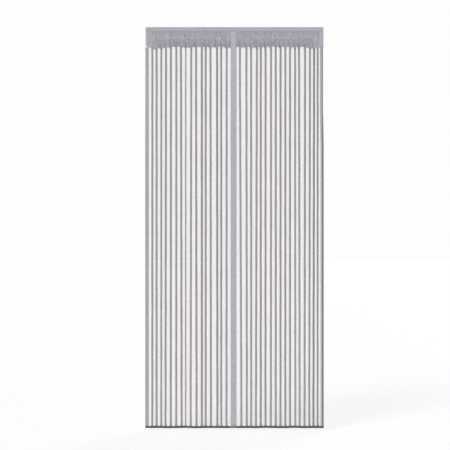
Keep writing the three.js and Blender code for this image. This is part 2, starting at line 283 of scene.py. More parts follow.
def face_outwards(piece):
    """Turns every face of a closed piece outwards."""
    select_only(piece)
    bpy.ops.object.mode_set(mode="EDIT")
    bpy.ops.mesh.select_all(action="SELECT")
    bpy.ops.mesh.normals_make_consistent(inside=False)
    bpy.ops.object.mode_set(mode="OBJECT")


def set_tone(piece, values):
    """Stores how light each point of the cloth is, 1 being its plain colour."""
    mesh = piece.data
    layer = mesh.attributes.get("tone") or mesh.attributes.new("tone", "FLOAT", "POINT")
    layer.data.foreach_set("value", np.broadcast_to(values, len(mesh.vertices)).astype(np.float32))


def points_of(piece):
    """The points of a piece, in millimetres."""
    flat = np.empty(len(piece.data.vertices) * 3, np.float32)
    piece.data.vertices.foreach_get("co", flat)
    return flat.reshape(-1, 3).astype(float) / MM


def move_points(piece, points):
    """Puts the points of a piece at these places, in millimetres."""
    piece.data.vertices.foreach_set("co", (points * MM).astype(np.float32).ravel())
    piece.data.update()


def new_piece(name, points, faces, material):
    """A smooth-shaded piece from points in millimetres and faces."""
    mesh = bpy.data.meshes.new(name)
    mesh.from_pydata((np.asarray(points).reshape(-1, 3) * MM).tolist(), [], faces)
    mesh.materials.append(material)
    mesh.shade_smooth()
    piece = bpy.data.objects.new(name, mesh)
    bpy.context.collection.objects.link(piece)
    set_tone(piece, 1.0)
    return piece


def ring_bodies(rings):
    """Points and faces of closed bodies. rings is an array of body, ring, point, xyz."""
    index = np.arange(np.prod(rings.shape[:3])).reshape(rings.shape[:3])
    turned = np.roll(index, -1, axis=2)
    sides = np.stack([index[:, :-1], turned[:, :-1], turned[:, 1:], index[:, 1:]], axis=-1)
    ends = np.concatenate([index[:, 0, ::-1], index[:, -1]])
    return rings.reshape(-1, 3), sides.reshape(-1, 4).tolist() + ends.tolist()


def finish_piece(piece, slot, *nodes):
    """The piece rides on the curtain, and stands for these nodes of the frame."""
    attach(piece, "root")
    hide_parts(*nodes)
    triangles = sum(len(p.vertices) - 2 for p in piece.data.polygons)
    print(piece.name, "has", triangles, "triangles")


print("a body of 3 rings of 4 points has", len(ring_bodies(np.zeros((1, 3, 4, 3)))[1]), "faces")

# %% [markdown]
# The net hangs in soft vertical waves that grow from under the heading and fade out at the bound
# edges. These are the same waves as in the solids. Each stripe has its own place under the
# heading and at the foot, and a few are wider, narrower or darker than the rest, as uneven as on a
# curtain that was sewn by hand. The waves and wanders here and below have lengths and heights in
# millimetres that were given one by one.

# %% The stripes' places and the hanging waves
RIB_WIDTH = 10.4
LONG_WAVE = 138
SHORT_WAVE = 76
Rib = namedtuple("Rib", "top foot width dye", defaults=(RIB_WIDTH, 1.0))
LEFT_RIBS = [
    Rib(-410.9, -411.1), Rib(-389.7, -390.0, 11), Rib(-366.1, -366.4), Rib(-342.8, -345.0),
    Rib(-317.9, -318.7), Rib(-291.2, -291.5), Rib(-267.8, -264.9), Rib(-244.1, -244.4, 7.2),
    Rib(-216.3, -219.3), Rib(-192.7, -190.1), Rib(-163.5, -163.4, 11), Rib(-144.5, -144.4),
    Rib(-120.5, -118.3), Rib(-87.7, -85.8, 10.5, 0.88), Rib(-66.8, -66.6), Rib(-39.6, -40.4),
]
RIGHT_RIBS = [
    Rib(26.2, 34.0), Rib(59.0, 61.5), Rib(82.5, 83.0), Rib(111.7, 106.7),
    Rib(130.8, 130.9), Rib(155.1, 154.6), Rib(182.1, 181.4), Rib(205.8, 205.6),
    Rib(229.8, 229.4), Rib(253.8, 253.4), Rib(277.3, 277.4), Rib(302.1, 304.1),
    Rib(322.2, 325.1), Rib(352.3, 349.6), Rib(377.1, 373.3), Rib(397.6, 394.3, 10.5, 0.82),
    Rib(415.3, 415.0, 9, 0.9),
]


def ease(value, start, end):
    """0 before start, 1 after end, and a smooth rise between them."""
    share = np.clip((np.asarray(value, float) - start) / (end - start), 0, 1)
    return share * share * (3 - 2 * share)


def wave(x, z):
    """How far the hanging net stands from its plane, in millimetres."""
    from_strip = np.where(x < 0, STRIP_LEFT - x, x - STRIP_RIGHT)
    across = ease(np.minimum(HALF - np.abs(x), from_strip), 30, 100)
    down = 0.7 * ease(-z, 110, 640) + 0.3 * ease(-z, 640, 1480)
    drift = 16 * np.sin(z / 620)
    long = 4.2 * np.sin(2 * math.pi * (x - drift) / LONG_WAVE + 0.6)
    short = 1.6 * np.sin(2 * math.pi * x / SHORT_WAVE + 2.1)
    return across * down * (long + short)


def left_plane(x):
    """The left panel comes forward towards the strip, because it laps over the right one."""
    return NET_PLANE + (LAP_PLANE - NET_PLANE) * ease(x, -HALF + 16, STRIP_LEFT - 15)


def right_plane(x):
    """The right panel hangs straight down behind the lap."""
    return NET_PLANE + 0 * x


def rib_centre(rib, z):
    """Where the middle of a stripe is at a height, with the slight wander of a hung thread."""
    share = np.clip((-z - 110) / (-FOOT - 230), 0, 1)
    seed = rib.top * 0.37
    sway = 0.25 * np.sin(z / 63 + seed) + 0.12 * np.sin(z / 24 + 2 * seed)
    kink = 0.7 * np.sin(z / 8 + seed) * np.exp(-np.maximum(-z - 97, 0) / 14)
    return rib.top + (rib.foot - rib.top) * share + sway + kink


print(len(LEFT_RIBS), "stripes on the left and", len(RIGHT_RIBS), "on the right")

# %% [markdown]
# The ground between the stripes is a fine knitted net. It could be a see-through sheet, but real
# threads catch the light and leave real holes, so each thread is a rod of three sides. The threads
# across run straight from stripe to stripe, and the threads down hang between them, but none is
# made behind the closing strip, where it would not show. The spacing is close to a real net's 1.5
# to 2 mm.

# %% The ground net
PITCH = 1.8
THREAD_RADIUS = 0.11
NET_TOP = -4.0
HEM_TURN = 10
HEM_TOP = FOOT + HEM_TURN
NET_REACH = HALF - 5
DOWN_SECTIONS = 26
PANELS = {
    "left": {"ribs": LEFT_RIBS, "outer": -NET_REACH, "inner": STRIP_RIGHT, "plane": left_plane},
    "right": {"ribs": RIGHT_RIBS, "outer": NET_REACH, "inner": STRIP_LEFT, "plane": right_plane},
}
THIRDS = np.radians([90, 210, 330])


def thread_rings(lines, aside):
    """Three points round each point of each line, in the plane of depth and aside."""
    away = np.array([0.0, 1.0, 0.0])
    round_it = np.outer(np.sin(THIRDS), away) + np.outer(np.cos(THIRDS), aside)
    return lines[:, :, None, :] + THREAD_RADIUS * round_it


def station_lines(panel, heights):
    """For each height, the net's points at its edges and at the middle of each stripe."""
    outer, inner = panel["outer"], panel["inner"]
    columns = [np.full(len(heights), outer)]
    columns += [rib_centre(rib, heights) for rib in panel["ribs"]]
    columns.append(np.full(len(heights), inner))
    x = np.sort(np.stack(columns, axis=1), axis=1)
    z = np.repeat(heights[:, None], x.shape[1], axis=1)
    return np.stack([x, panel["plane"](x) + wave(x, z), z], axis=-1)


def ground_net(side):
    """All the threads of one panel, across and down, as one piece."""
    panel = PANELS[side]
    heights = np.arange(NET_TOP, HEM_TOP, -PITCH)
    across = ring_bodies(thread_rings(station_lines(panel, heights), np.array([0.0, 0.0, 1.0])))
    stations = station_lines(panel, np.linspace(NET_TOP, HEM_TOP - 1, DOWN_SECTIONS))
    down = []
    for left, right in zip(range(stations.shape[1] - 1), range(1, stations.shape[1])):
        start, end = stations[:, left], stations[:, right]
        count = int(round(abs(end[0, 0] - start[0, 0]) / PITCH))
        for share in (np.arange(count) + 0.5) / count:
            line = start + (end - start) * share
            if not STRIP_LEFT - 1 < line[:, 0].mean() < STRIP_RIGHT + 1:
                down.append(line)
    down = ring_bodies(thread_rings(np.array(down), np.array([1.0, 0.0, 0.0])))
    first = len(across[0])
    points = np.concatenate([across[0], down[0]])
    faces = across[1] + [[i + first for i in face] for face in down[1]]
    piece = new_piece(side + "_net_ground", points, faces, ground_yarn)
    face_outwards(piece)
    finish_piece(piece, "striped_net", side + "_net")
    return piece


grounds = {side: ground_net(side) for side in PANELS}

# %% [markdown]
# A stripe is where extra yarns are woven in, so it stands out on both faces as a low rib with
# fine wales along it. Each one is a lens-shaped ribbon with five wales. The wales are painted a
# little lighter and the grooves between them darker, as painted highlight and shade. It lies on
# the threads, so that none of them pokes through its face. It is pressed flat where the tape holds
# its top, and spreads at the foot, where the hem gathers it flat. Some stripes are a little darker
# than others.

# %% The raised stripes
RIB_FLARE = 8
RIB_EDGE = 0.25
RIB_CROWN = 0.95
RIB_PRESSED = 0.35
WALES = 5
WALE_DEPTH = 0.2
WALE_PAINTED_HIGHLIGHT = 1.05
GROOVE_PAINTED_SHADE = 0.93
ROW_STEP = 16
rng = np.random.default_rng(7)


def rib_section():
    """The points round a stripe: share of its width, depth from its middle, and tone, which is a painted
    highlight on the wales and painted shade in the grooves.
    """
    across = np.linspace(-0.5, 0.5, 2 * WALES + 1)
    crown = RIB_EDGE + RIB_CROWN * np.sqrt(1 - (2 * across) ** 2)
    grooves = np.arange(len(across)) % 2 == 0
    half = crown * (1 - WALE_DEPTH * grooves)
    # Painted light: the wales get a painted highlight, and the grooves and the edges get painted shade.
    tone = np.where(grooves, GROOVE_PAINTED_SHADE, WALE_PAINTED_HIGHLIGHT)
    front = list(zip(across, -half, tone))
    back = list(zip(across[1:-1], half[1:-1], tone[1:-1]))[::-1]
    return np.array(front + back)


def stripe_heights():
    """Heights of a stripe's sections, closer together at the heading and at the foot."""
    top = np.concatenate([[TAPE_EDGE + 1, TAPE_EDGE - 0.5], np.arange(TAPE_EDGE - 4, -150, -4.0)])
    middle = np.arange(-150, FOOT + 40, -ROW_STEP)
    foot = np.array([FOOT + 30, FOOT + 24, FOOT + 20, FOOT + 16, FOOT + 13, FOOT + 10.2])
    return np.concatenate([top, middle, foot])


def rib_rings(rib, lines, section):
    """A stripe's sections. lines are the net's points before, at and after it, at each height."""
    before, here, after = lines
    heights = here[:, 2]
    seed = rib.foot * 0.71
    uneven = 1 + 0.03 * np.sin(heights / 47 + seed) + 0.02 * np.sin(heights / 19 + 3 * seed)
    flare = np.interp(-heights, [-FOOT - 20, -FOOT - 14, -FOOT - 10.2], [0, 0.3, 1])
    width = rib.width * uneven + RIB_FLARE * flare
    aside = section[:, 0] * width[:, None]
    rise, run = here - before, after - here
    slopes = np.where(aside < 0, (rise[:, 1] / rise[:, 0])[:, None], (run[:, 1] / run[:, 0])[:, None])
    thickness = np.interp(-heights, [-TAPE_EDGE + 0.5, -TAPE_EDGE + 4], [RIB_PRESSED, 1])
    y = here[:, 1:2] + slopes * aside + section[:, 1] * thickness[:, None]
    z = np.repeat(heights[:, None], len(section), axis=1)
    return np.stack([here[:, 0:1] + aside, y, z], axis=-1)


def stripes(side):
    """All the stripes of one panel, as one piece."""
    panel = PANELS[side]
    section = rib_section()
    stations = station_lines(panel, stripe_heights()).transpose(1, 0, 2)
    rings = np.array(
        [rib_rings(rib, stations[i : i + 3], section) for i, rib in enumerate(panel["ribs"])]
    )
    piece = new_piece(side + "_net_stripes", *ring_bodies(rings), stripe_cloth)
    face_outwards(piece)
    # Each stripe is drawn a little lighter or darker than the rest, by its own factor.
    dye = rng.uniform(0.95, 1.04, len(panel["ribs"])) * [rib.dye for rib in panel["ribs"]]
    set_tone(piece, (dye[:, None, None] * section[:, 2] * np.ones(rings.shape[:3])).ravel())
    finish_piece(piece, "striped_net", side + "_net")
    return piece


striped = {side: stripes(side) for side in PANELS}

# %% [markdown]
# The foot is turned up 10 mm and sewn, so the net lies double there and looks darker. The turned
# edge wraps the binding at the outer edge and the strip at the inner one. Its section is a flat
# loop with a soft fold at the bottom, a little puckered by the stitches. Over the strip it is
# stretched smooth, and so a shade lighter.

# %% The hem
HEM_STEP = 2.0
BINDING_INNER = HALF - 16
HEM_HALF = NET_HALF + RIB_RISE
HEM_HALF_EDGE = -binding_low[1] / 2
HEM_HALF_STRIP = NET_HALF + GAP + (strip_high[1] - strip_low[1])
HEM_SECTION = [(0, 0.92), (0.25, 1), (0.7, 1), (0.9, 0.8), (0.98, 0.45)]
HEM_TONE_STRIP = 2.3


def hem_half(x, in_strip, strip_side):
    """Half thickness of the hem on one face; strip_side says if the strip is on that face."""
    plain = HEM_HALF + (HEM_HALF_EDGE - HEM_HALF) * ease(np.abs(x), BINDING_INNER - 14, BINDING_INNER)
    return np.where(in_strip, HEM_HALF_STRIP if strip_side else NET_HALF, plain)


def hem(side):
    """The turned-up foot of one panel. HEM_SECTION gives depth and share of the half thickness."""
    panel = PANELS[side]
    outer = -HALF if side == "left" else HALF
    ends = sorted((outer, panel["inner"]))
    x = np.linspace(*ends, int((ends[1] - ends[0]) / HEM_STEP) + 1)
    in_strip = x > STRIP_LEFT - 1 if side == "left" else x < STRIP_RIGHT + 1
    pucker = 1 + 0.1 * np.sin(x * 1.9) + 0.08 * np.sin(x * 0.83 + 1)
    middle = panel["plane"](x) + wave(x, HEM_TOP)
    front = hem_half(x, in_strip, side == "left") * pucker
    back = hem_half(x, in_strip, side == "right") * np.where(in_strip, 1, pucker)
    loop = [(-share, -depth, front) for depth, share in HEM_SECTION]
    loop += [(0.0, -1.0, front)]
    loop += [(share, -depth, back) for depth, share in HEM_SECTION[::-1]]
    rings = [[x, middle + share * half, HEM_TOP + depth * HEM_TURN] for share, depth, half in loop]
    rings = np.array([[np.broadcast_to(v, x.shape) for v in ring] for ring in rings])
    piece = new_piece(side + "_net_hem", *ring_bodies(rings.transpose(2, 0, 1)[None]), hem_cloth)
    face_outwards(piece)
    set_tone(piece, np.repeat(np.where(in_strip, HEM_TONE_STRIP, 1.0), len(loop)))
    finish_piece(piece, "striped_net", side + "_net")
    return piece


hems = {side: hem(side) for side in PANELS}

# %% [markdown]
# The tapes that bind the edges are strips of cloth folded in half lengthwise over the raw edge.
# They are modelled as they are sewn: a flat grid is the back layer, its edge is spun half a turn
# to make the fold, and then extruded to make the front layer. Solidify gives the cloth its
# thickness, and a small bevel softens the cut edges. The tape is made with its fold at x = 0,
# hanging down from z = 0, and is then turned into place.

# %% A folded tape
FOLD_STEPS = 6
TAPE_COLUMN = 2.5
TAPE_ROW = 5.0


def select_where(piece, test):
    """In edit mode, selects only the points whose place in millimetres passes the test."""
    bpy.ops.mesh.select_mode(type="VERT")
    bpy.ops.mesh.select_all(action="DESELECT")
    mesh = bmesh.from_edit_mesh(piece.data)
    for point in mesh.verts:
        point.select = bool(test(point.co / MM))
    mesh.select_flush(True)
    bmesh.update_edit_mesh(piece.data)


def apply_modifier(piece, kind, **settings):
    """Adds a modifier with these settings and applies it."""
    modifier = piece.modifiers.new(kind.lower(), kind)
    for name, value in settings.items():
        setattr(modifier, name, value)
    select_only(piece)
    bpy.ops.object.modifier_apply(modifier=modifier.name)


def folded_tape(name, width, thickness, length, material):
    """A plain folded tape of this size, from its fold at x = 0 and its end at z = 0."""
    radius = thickness / 2
    flat = width - radius
    rows = round(length / TAPE_ROW)
    columns = round(flat / TAPE_COLUMN)
    bpy.ops.object.select_all(action="DESELECT")
    bpy.ops.mesh.primitive_grid_add(
        x_subdivisions=columns,
        y_subdivisions=rows,
        size=1,
        location=((radius + flat / 2) * MM, -WALL / 2 * MM, -length / 2 * MM),
        rotation=(math.pi / 2, 0, 0),
    )
    piece = bpy.context.object
    piece.name = piece.data.name = name
    piece.scale = (flat * MM, length * MM, 1)
    bpy.ops.object.transform_apply(location=True, rotation=True, scale=True)
    bpy.ops.object.mode_set(mode="EDIT")
    select_where(piece, lambda place: place.x < radius + 0.01)
    bpy.ops.mesh.spin(
        steps=FOLD_STEPS, angle=math.pi, center=(radius * MM, -radius * MM, 0), axis=(0, 0, -1)
    )
    for _ in range(columns):
        step = flat / columns * MM
        bpy.ops.mesh.extrude_region_move(TRANSFORM_OT_translate={"value": (step, 0, 0)})
    bpy.ops.object.mode_set(mode="OBJECT")
    apply_modifier(piece, "SOLIDIFY", thickness=WALL * MM, offset=0)
    apply_modifier(piece, "BEVEL", width=0.2 * MM, segments=1, limit_method="ANGLE", angle_limit=1.0)
    piece.data.materials.append(material)
    piece.data.shade_smooth()
    set_tone(piece, 1.0)
    return piece


print("the cloth of a tape is", WALL, "mm thick, in columns of", TAPE_COLUMN, "mm")

# %% [markdown]
# A sewn tape is never quite straight. Its open edge wanders by a few tenths of a millimetre, the
# layers swell a little between the stitches, and the ends are cut with rounded corners. The same
# function does this for every tape, while the tape still lies in its own plain place.


# %% Shape and place the tapes
def cloud_at(points, size, seed):
    """A smooth random value from about -1 to 1 at each point; size is in millimetres."""
    return np.array([noise.noise(Vector(p) / size + Vector((seed, 0, 0))) for p in points])


def round_end(points, end, radius):
    """Rounds the corner between the fold and one end, by drawing points along the tape."""
    if radius <= 0:
        return points
    from_fold = np.clip(points[:, 0], 0, radius)
    drawn = radius - np.sqrt(radius**2 - (radius - from_fold) ** 2)
    share = 1 - np.clip(np.abs(points[:, 2] - end) / (3 * radius), 0, 1)
    moved = points.copy()
    moved[:, 2] += np.sign(points[:, 2].mean() - end) * drawn * share
    return moved


def soften_tape(piece, width, thickness, length, corners, seed):
    """Gives a tape its rounded corners, its wandering edge and the swell of its layers."""
    points = points_of(piece)
    for end, radius in zip((0.0, -length), corners):
        points = round_end(points, end, radius)
    place = points * (1, 0, 1)
    across = np.clip(points[:, 0] / width, 0, 1)
    points[:, 0] += across**2 * (0.35 * cloud_at(place, 60, seed) + 0.15 * cloud_at(place, 9, seed))
    front = points[:, 1] < -thickness / 2
    swell = 0.5 * cloud_at(place, 26, seed + 5) + 0.3 * cloud_at(place, 7, seed + 9)
    points[:, 1] -= np.where(front, 1, 0) * (0.15 + swell) * np.sin(math.pi * across)
    move_points(piece, points)


def place_tape(piece, matrix_mm, mirrored=False):
    """Turns a finished tape into its place. A mirrored one has its faces turned back outwards."""
    move = matrix_mm.copy()
    move.translation = move.translation * MM
    piece.data.transform(move)
    if mirrored:
        piece.data.flip_normals()


def vertical_tape(node, cloth, slot, corners, seed):
    """The tape that stands for a node at the left or the right edge."""
    low, high = box_mm(node)
    width, thickness, length = high[0] - low[0], high[1] - low[1], high[2] - low[2]
    piece = folded_tape(node + "_cloth", width, thickness, length, cloth)
    soften_tape(piece, width, thickness, length, corners, seed)
    at_left = low[0] < 0
    edge = Matrix.Translation((low[0] if at_left else high[0], 0, high[2]))
    turn = Matrix.Scale(1 if at_left else -1, 4, (1, 0, 0))
    place_tape(piece, edge @ turn, mirrored=not at_left)
    finish_piece(piece, slot, node)
    return piece


EDGE_TAPES = {
    "side_binding_left": (binding_cloth, "binding_tape", (3, 0), 1.3),
    "side_binding_right": (binding_cloth, "binding_tape", (2, 0), 2.6),
    "heading_end_left": (tape_cloth, "heading_tape_cloth", (0, 8), 3.9),
    "heading_end_right": (tape_cloth, "heading_tape_cloth", (0, 2), 5.2),
}
edge_tapes = {node: vertical_tape(node, *look) for node, look in EDGE_TAPES.items()}
left_binding, right_binding, left_end, right_end = edge_tapes.values()

# %% [markdown]
# The top tape is the same folded tape laid on its side, with its fold upwards.

# %% The top tape
tape_width = tape_high[2] - tape_low[2]
tape_thickness = tape_high[1] - tape_low[1]
tape_length = tape_high[0] - tape_low[0]
top_tape = folded_tape("top_tape_cloth", tape_width, tape_thickness, tape_length, tape_cloth)
soften_tape(top_tape, tape_width, tape_thickness, tape_length, (4, 2), 7.1)
on_its_side = Matrix.Translation((tape_high[0], 0, 0)) @ Matrix.Rotation(math.pi / 2, 4, "Y")
place_tape(top_tape, on_its_side)
finish_piece(top_tape, "heading_tape_cloth", "heading_tape")

# %% [markdown]
# The left end of the heading is a wider tape, and it has been drawn together by the sewing: two
# low folds run down it with a groove between, its lower outer corner is rounded off, and its
# inner half sags a little. Its outer fold is painted lighter and its groove darker, as painted
# highlight and shade. The binding below has slipped down at its outer edge, which leaves a notch.
# The inner edges of both ends are spread over the band. The right end has one fold and is drawn
# in a little; its fold is painted a little lighter and its outer edge darker, as painted highlight
# and shade. The right binding is drawn in by 3 mm under the heading, and further down it has
# turned over along its middle, so that its outer half faces away. That half is also painted
# darker, as painted shade. The top tape is painted lighter at its left end and darker at its
# right end, as painted highlight and shade.


# %% Folds and shades of the edge tapes
END_SPREAD = {"left": 5.0, "right": 6.0}
END_SAG = 7.2
BINDING_SLIP = 4.5


def ridge(values, centre, half_width):
    """A soft ridge of height 1 that falls away on both sides."""
    return np.exp(-(((values - centre) / half_width) ** 2))


def press_fold(piece, folds, shade, drawn):
    """Presses folds into a tape's front; each is its place, half width and height along x.

    For x and z, shade gives the tone, and drawn how far the cloth is drawn to the side.
    """
    points = points_of(piece)
    front = points[:, 1] < points[:, 1].min() / 2
    rise = sum(height * ridge(points[:, 0], centre, half) for centre, half, height in folds)
    points[:, 1] -= np.where(front, rise, 0)
    set_tone(piece, shade(points[:, 0], points[:, 2]))
    points[:, 0] += drawn(points[:, 0], points[:, 2])
    move_points(piece, points)


def let_down(piece, sag):
    """Lowers the cloth; sag gives how far for x and z, in millimetres."""
    points = points_of(piece)
    points[:, 2] -= sag(points[:, 0], points[:, 2])
    move_points(piece, points)


# The left end's shade paints a highlight on its outer fold and shade in its groove.
press_fold(
    left_end,
    [(-438, 4, 1.0), (-425.5, 2.5, -0.9), (-418, 2.5, 0.9)],
    lambda x, z: 1 + 0.07 * ridge(x, -439, 6) - 0.09 * ridge(x, -425.5, 3) + 0.02 * ease(x, -422, -418),
    lambda x, z: 1.3 * ease(-x, 416, 446) + END_SPREAD["left"] * ease(x, -428, -417),
)
# The right end's shade paints a slight highlight on its fold and shade on its outer edge.
press_fold(
    right_end,
    [(433.5, 3, 0.9), (441, 3, -0.6)],
    lambda x, z: 1.02 + 0.03 * ridge(x, 433.5, 4) - 0.1 * ease(x, 439, 445),
    lambda x, z: -1.8 * ease(x, 430, 446) - END_SPREAD["right"] * ease(-x, -439, -430),
)
press_fold(
    left_binding,
    [(-440, 4, 0.3)],
    lambda x, z: 1 + 0.03 * ease(x, -440, -432) + 0.03 * ease(z, -900, -100),
    lambda x, z: 1.0 * ease(x, -440, -430) - 0.7 * ease(-x, 436, 446) * ease(-z, 120, 700),
)
# The right binding's outer half is painted darker, as painted shade, and more so further down.
press_fold(
    right_binding,
    [(434, 3, 0.8), (442, 3, -0.9)],
    lambda x, z: 1.1 - (0.21 + 0.45 * ease(-z, 380, 560)) * ease(x, 436.5, 439.5),
    lambda x, z: -(2.6 + 0.8 * ease(-x, -436, -430)) * ease(z, -620, -380) - 0.6 * ease(x, 440, 446),
)
# The top tape's shade paints its left end lighter and its right end darker, as painted highlight and
# shade.
press_fold(
    top_tape,
    [],
    lambda x, z: 1 + 0.02 * np.sin(x / 57) + 0.06 * ease(-x, 438, 441) - 0.07 * ease(x, 438, 443),
    lambda x, z: 1.3 * ease(-x, 430, 446) - 1.8 * ease(x, 430, 446),
)
let_down(left_end, lambda x, z: END_SAG * ease(x, -436, -426) * ease(-z, 70, 99))
let_down(left_binding, lambda x, z: BINDING_SLIP * ease(-x, 435, 438.5) * ease(z, -140, -100))
for tape in (left_end, right_binding):
    print(tape.name, "now comes forward to", round(points_of(tape)[:, 1].min(), 2), "mm")

# %% [markdown]
# Each closing strip is a flat casing of smooth tape, sewn shut along both edges, that hides the
# magnets. Only the casing shows: a firm band with a slightly raised middle, a stitch channel near
# each edge and a rounded rim. The front one covers its partner, which is seen from behind.

# %% The closing strips
STRIP_ROW = 7.0
STRIP_RIM = [(1.0, 0.0), (0.985, 0.55), (0.94, 0.8), (0.86, 0.74), (0.78, 0.92), (0.55, 1.0), (0.2, 0.98)]
STRIP_SECTION = [(-x, y) for x, y in STRIP_RIM] + STRIP_RIM[::-1]


def closing_strip(node, seed):
    """The casing that stands for a strip's node, as a stack of its sections."""
    low, high = box_mm(node)
    middle, half = (low + high) / 2, (high - low) / 2
    loop = np.array([(x, -y) for x, y in STRIP_SECTION] + STRIP_SECTION[-2:0:-1])
    heights = np.linspace(high[2], low[2], int((high[2] - low[2]) / STRIP_ROW) + 1)
    sway = 0.2 * np.sin(heights / 140 + seed) * ease(-heights, 100, 200)
    dent = 1 - 0.05 * (1 + np.sin(heights / 17 + seed) * np.sin(heights / 61))
    x = middle[0] + sway[:, None] + loop[:, 0] * (half[0] - 0.1)
    y = middle[1] + loop[:, 1] * half[1] * dent[:, None]
    z = np.repeat(heights[:, None], len(loop), axis=1)
    piece = new_piece(node + "_casing", *ring_bodies(np.stack([x, y, z], axis=-1)[None]), strip_cloth)
    face_outwards(piece)
    # The rounded rim is painted 5 % darker, as painted shade, and the casing is painted a little lighter
    # towards its top.
    rim = 1 - 0.05 * (np.abs(loop[:, 0]) > 0.9)
    set_tone(piece, (rim * (1 + 0.05 * ease(z, -600, -100))).ravel())
    finish_piece(piece, "magnet_strip_cloth", node)
    return piece


front_strip = closing_strip("centre_strip_front", 0.4)
back_strip = closing_strip("centre_strip_back", 2.2)

# %% [markdown]
# The heading band is where the cloth is gathered to the width of the door. A stitched tuck draws it
# in half way down, and below the tuck it falls in soft ruffles between the stripes, which end in an
# uneven lower edge. Above the tuck it is crumpled, and the stitches pinch it into small knots. A
# cloth simulation could drape it, but its folds would not lie where the real ones do. Here each
# crease is a short soft ridge at a slant. The large ones at the two ends have their own places, and
# the rest are scattered.

# %% Creases
Crease = namedtuple("Crease", "x z slant half_length half_width rise")
END_CREASES = {
    "left": [
        Crease(-405, -72, 0.05, 24, 5, 1.5),
        Crease(-412, -42, 1.5, 7, 1.8, 1.2),
        Crease(-396, -84, -0.5, 9, 3, -1.3),
    ],
    "right": [
        Crease(388.6, -46, 0.0, 8, 2.6, 1.7),
        Crease(412, -46, -0.25, 10, 2.6, 1.7),
        Crease(399, -65, -0.1, 14, 3, 1.9),
        Crease(411, -66, 0.7, 11, 3, 1.6),
        Crease(409.5, -64, 0.0, 30, 2.3, 1.8),
        Crease(392.5, -61, 0.1, 6, 2.6, -1.7),
        Crease(407, -57, 0.2, 7, 2.6, -1.7),
        Crease(417, -34, 0.0, 5, 3, -1.4),
    ],
}
CreaseKind = namedtuple("CreaseKind", "spacing low high lean half_length half_width rise troughs")
CREASE_KINDS = [
    CreaseKind(7.0, -97, -28, 0.5, (5, 15), (1.4, 3.4), (0.7, 1.7), 0.45),
    CreaseKind(26.0, -46, -30, 0.15, (5, 9), (1.5, 2.4), (0.9, 1.5), 0.1),
    CreaseKind(10.0, -64, -46, 1.0, (3, 6.5), (1.8, 3.0), (1.4, 2.8), 0.15),
    CreaseKind(8.0, -98, -84, 0.9, (3, 6.5), (1.6, 2.8), (1.5, 2.9), 0.4),
]


def scattered(kind, left, right, scatter):
    """Creases of one kind, about that far apart. troughs is the share that goes inwards."""
    creases = []
    for _ in range(int((right - left) / kind.spacing)):
        side = -1 if scatter.random() < kind.troughs else 1
        middle = scatter.uniform(left, right), scatter.uniform(kind.low, kind.high)
        slant = scatter.normal(0, kind.lean)
        size = scatter.uniform(*kind.half_length), scatter.uniform(*kind.half_width)
        creases.append(Crease(*middle, slant, *size, side * scatter.uniform(*kind.rise)))
    return creases


def crumple(creases, x, z):
    """How far these creases lift each point, in millimetres."""
    height = np.zeros_like(x)
    for crease in creases:
        down, over = z - crease.z, x - crease.x
        along = down * math.cos(crease.slant) + over * math.sin(crease.slant)
        away = over * math.cos(crease.slant) - down * math.sin(crease.slant)
        height += crease.rise * ridge(away, 0, crease.half_width) * ridge(along, 0, crease.half_length)
    return height


print("kinds of scattered creases:", len(CREASE_KINDS))

# %% [markdown]
# The band's levels follow those of the solids, from its top edge to its lower one. Each says how
# full the gathers are there, how far the cloth follows the wander of the seam and the uneven lower
# edge, and how light it is painted: painted shadow just under the tape, a painted highlight along
# the seam, and painted shade low down. A gather stands out between each two stripes, some fuller
# than others.

# %% Levels and gathers of the heading band
BAND_HALF = 0.6
BAND_PLANE = LAP_PLANE - NET_HALF - RIB_RISE - GAP - BAND_HALF
BAND_TUCK = 3.5
SEAM_LEVEL = -55.5
BandLevel = namedtuple("BandLevel", "z fold wander scallop tone")
# The tone column is painted light: a painted shadow under the tape, a painted highlight at the seam, and
# painted shade low down.
BAND_LEVELS = [
    BandLevel(TAPE_EDGE + BAND_TUCK, 0, 0, 0, 0.95),
    BandLevel(TAPE_EDGE - GAP, 0.1, 0, 0, 0.95),
    BandLevel(-33, 0.3, 0.4, 0, 1.0),
    BandLevel(SEAM_LEVEL + 5, 0.2, 1, 0, 1.02),
    BandLevel(SEAM_LEVEL, 0.1, 1, 0, 1.08),
    BandLevel(SEAM_LEVEL - 5, 0.2, 1, 0, 0.97),
    BandLevel(-76, 0.7, 0.4, 0.4, 0.93),
    BandLevel(-86, 0.85, 0.2, 0.6, 0.87),
    BandLevel(-99, 1, 0, 1, 0.94),
]


def at_level(name, z):
    """One of the values of the levels, read off between them at these heights."""
    heights = [-level.z for level in BAND_LEVELS]
    return np.interp(-z, heights, [getattr(level, name) for level in BAND_LEVELS])


def uneven(index):
    """A repeatable number from 0 to 1 for each whole number."""
    value = math.sin(index * 12.9898 + 4.1414) * 43758.5453
    return value - math.floor(value)


def gathers(x, ribs, left, right):
    """For each x: how near it is to a gather's crest, and how full that gather is, both 0 to 1."""
    inside = [rib.top for rib in ribs if left + 3 < rib.top < right - 3]
    stops = np.array([left, *inside, right])
    which = np.clip(np.searchsorted(stops, x, side="right") - 1, 0, len(stops) - 2)
    share = (x - stops[which]) / (stops[which + 1] - stops[which])
    seeds = [i + math.floor(stop + 0.5) for i, stop in enumerate(stops[:-1])]
    return np.sin(math.pi * share) ** 2, np.array([uneven(s) for s in seeds])[which]


def seam_wander(x):
    """How far the tuck's seam lies above its level, in millimetres."""
    return 3 * np.sin(x / 31) * np.cos(x / 87)


def seam_dashes(x):
    """Where the fold of the tuck stands up and catches the light, from 0 to 1."""
    return ease(np.sin(x / 9.3 + 2.2 * np.sin(x / 41)), -0.2, 0.7)


print("the band stands at", round(BAND_PLANE, 2), "mm, and its seam at", SEAM_LEVEL, "mm")

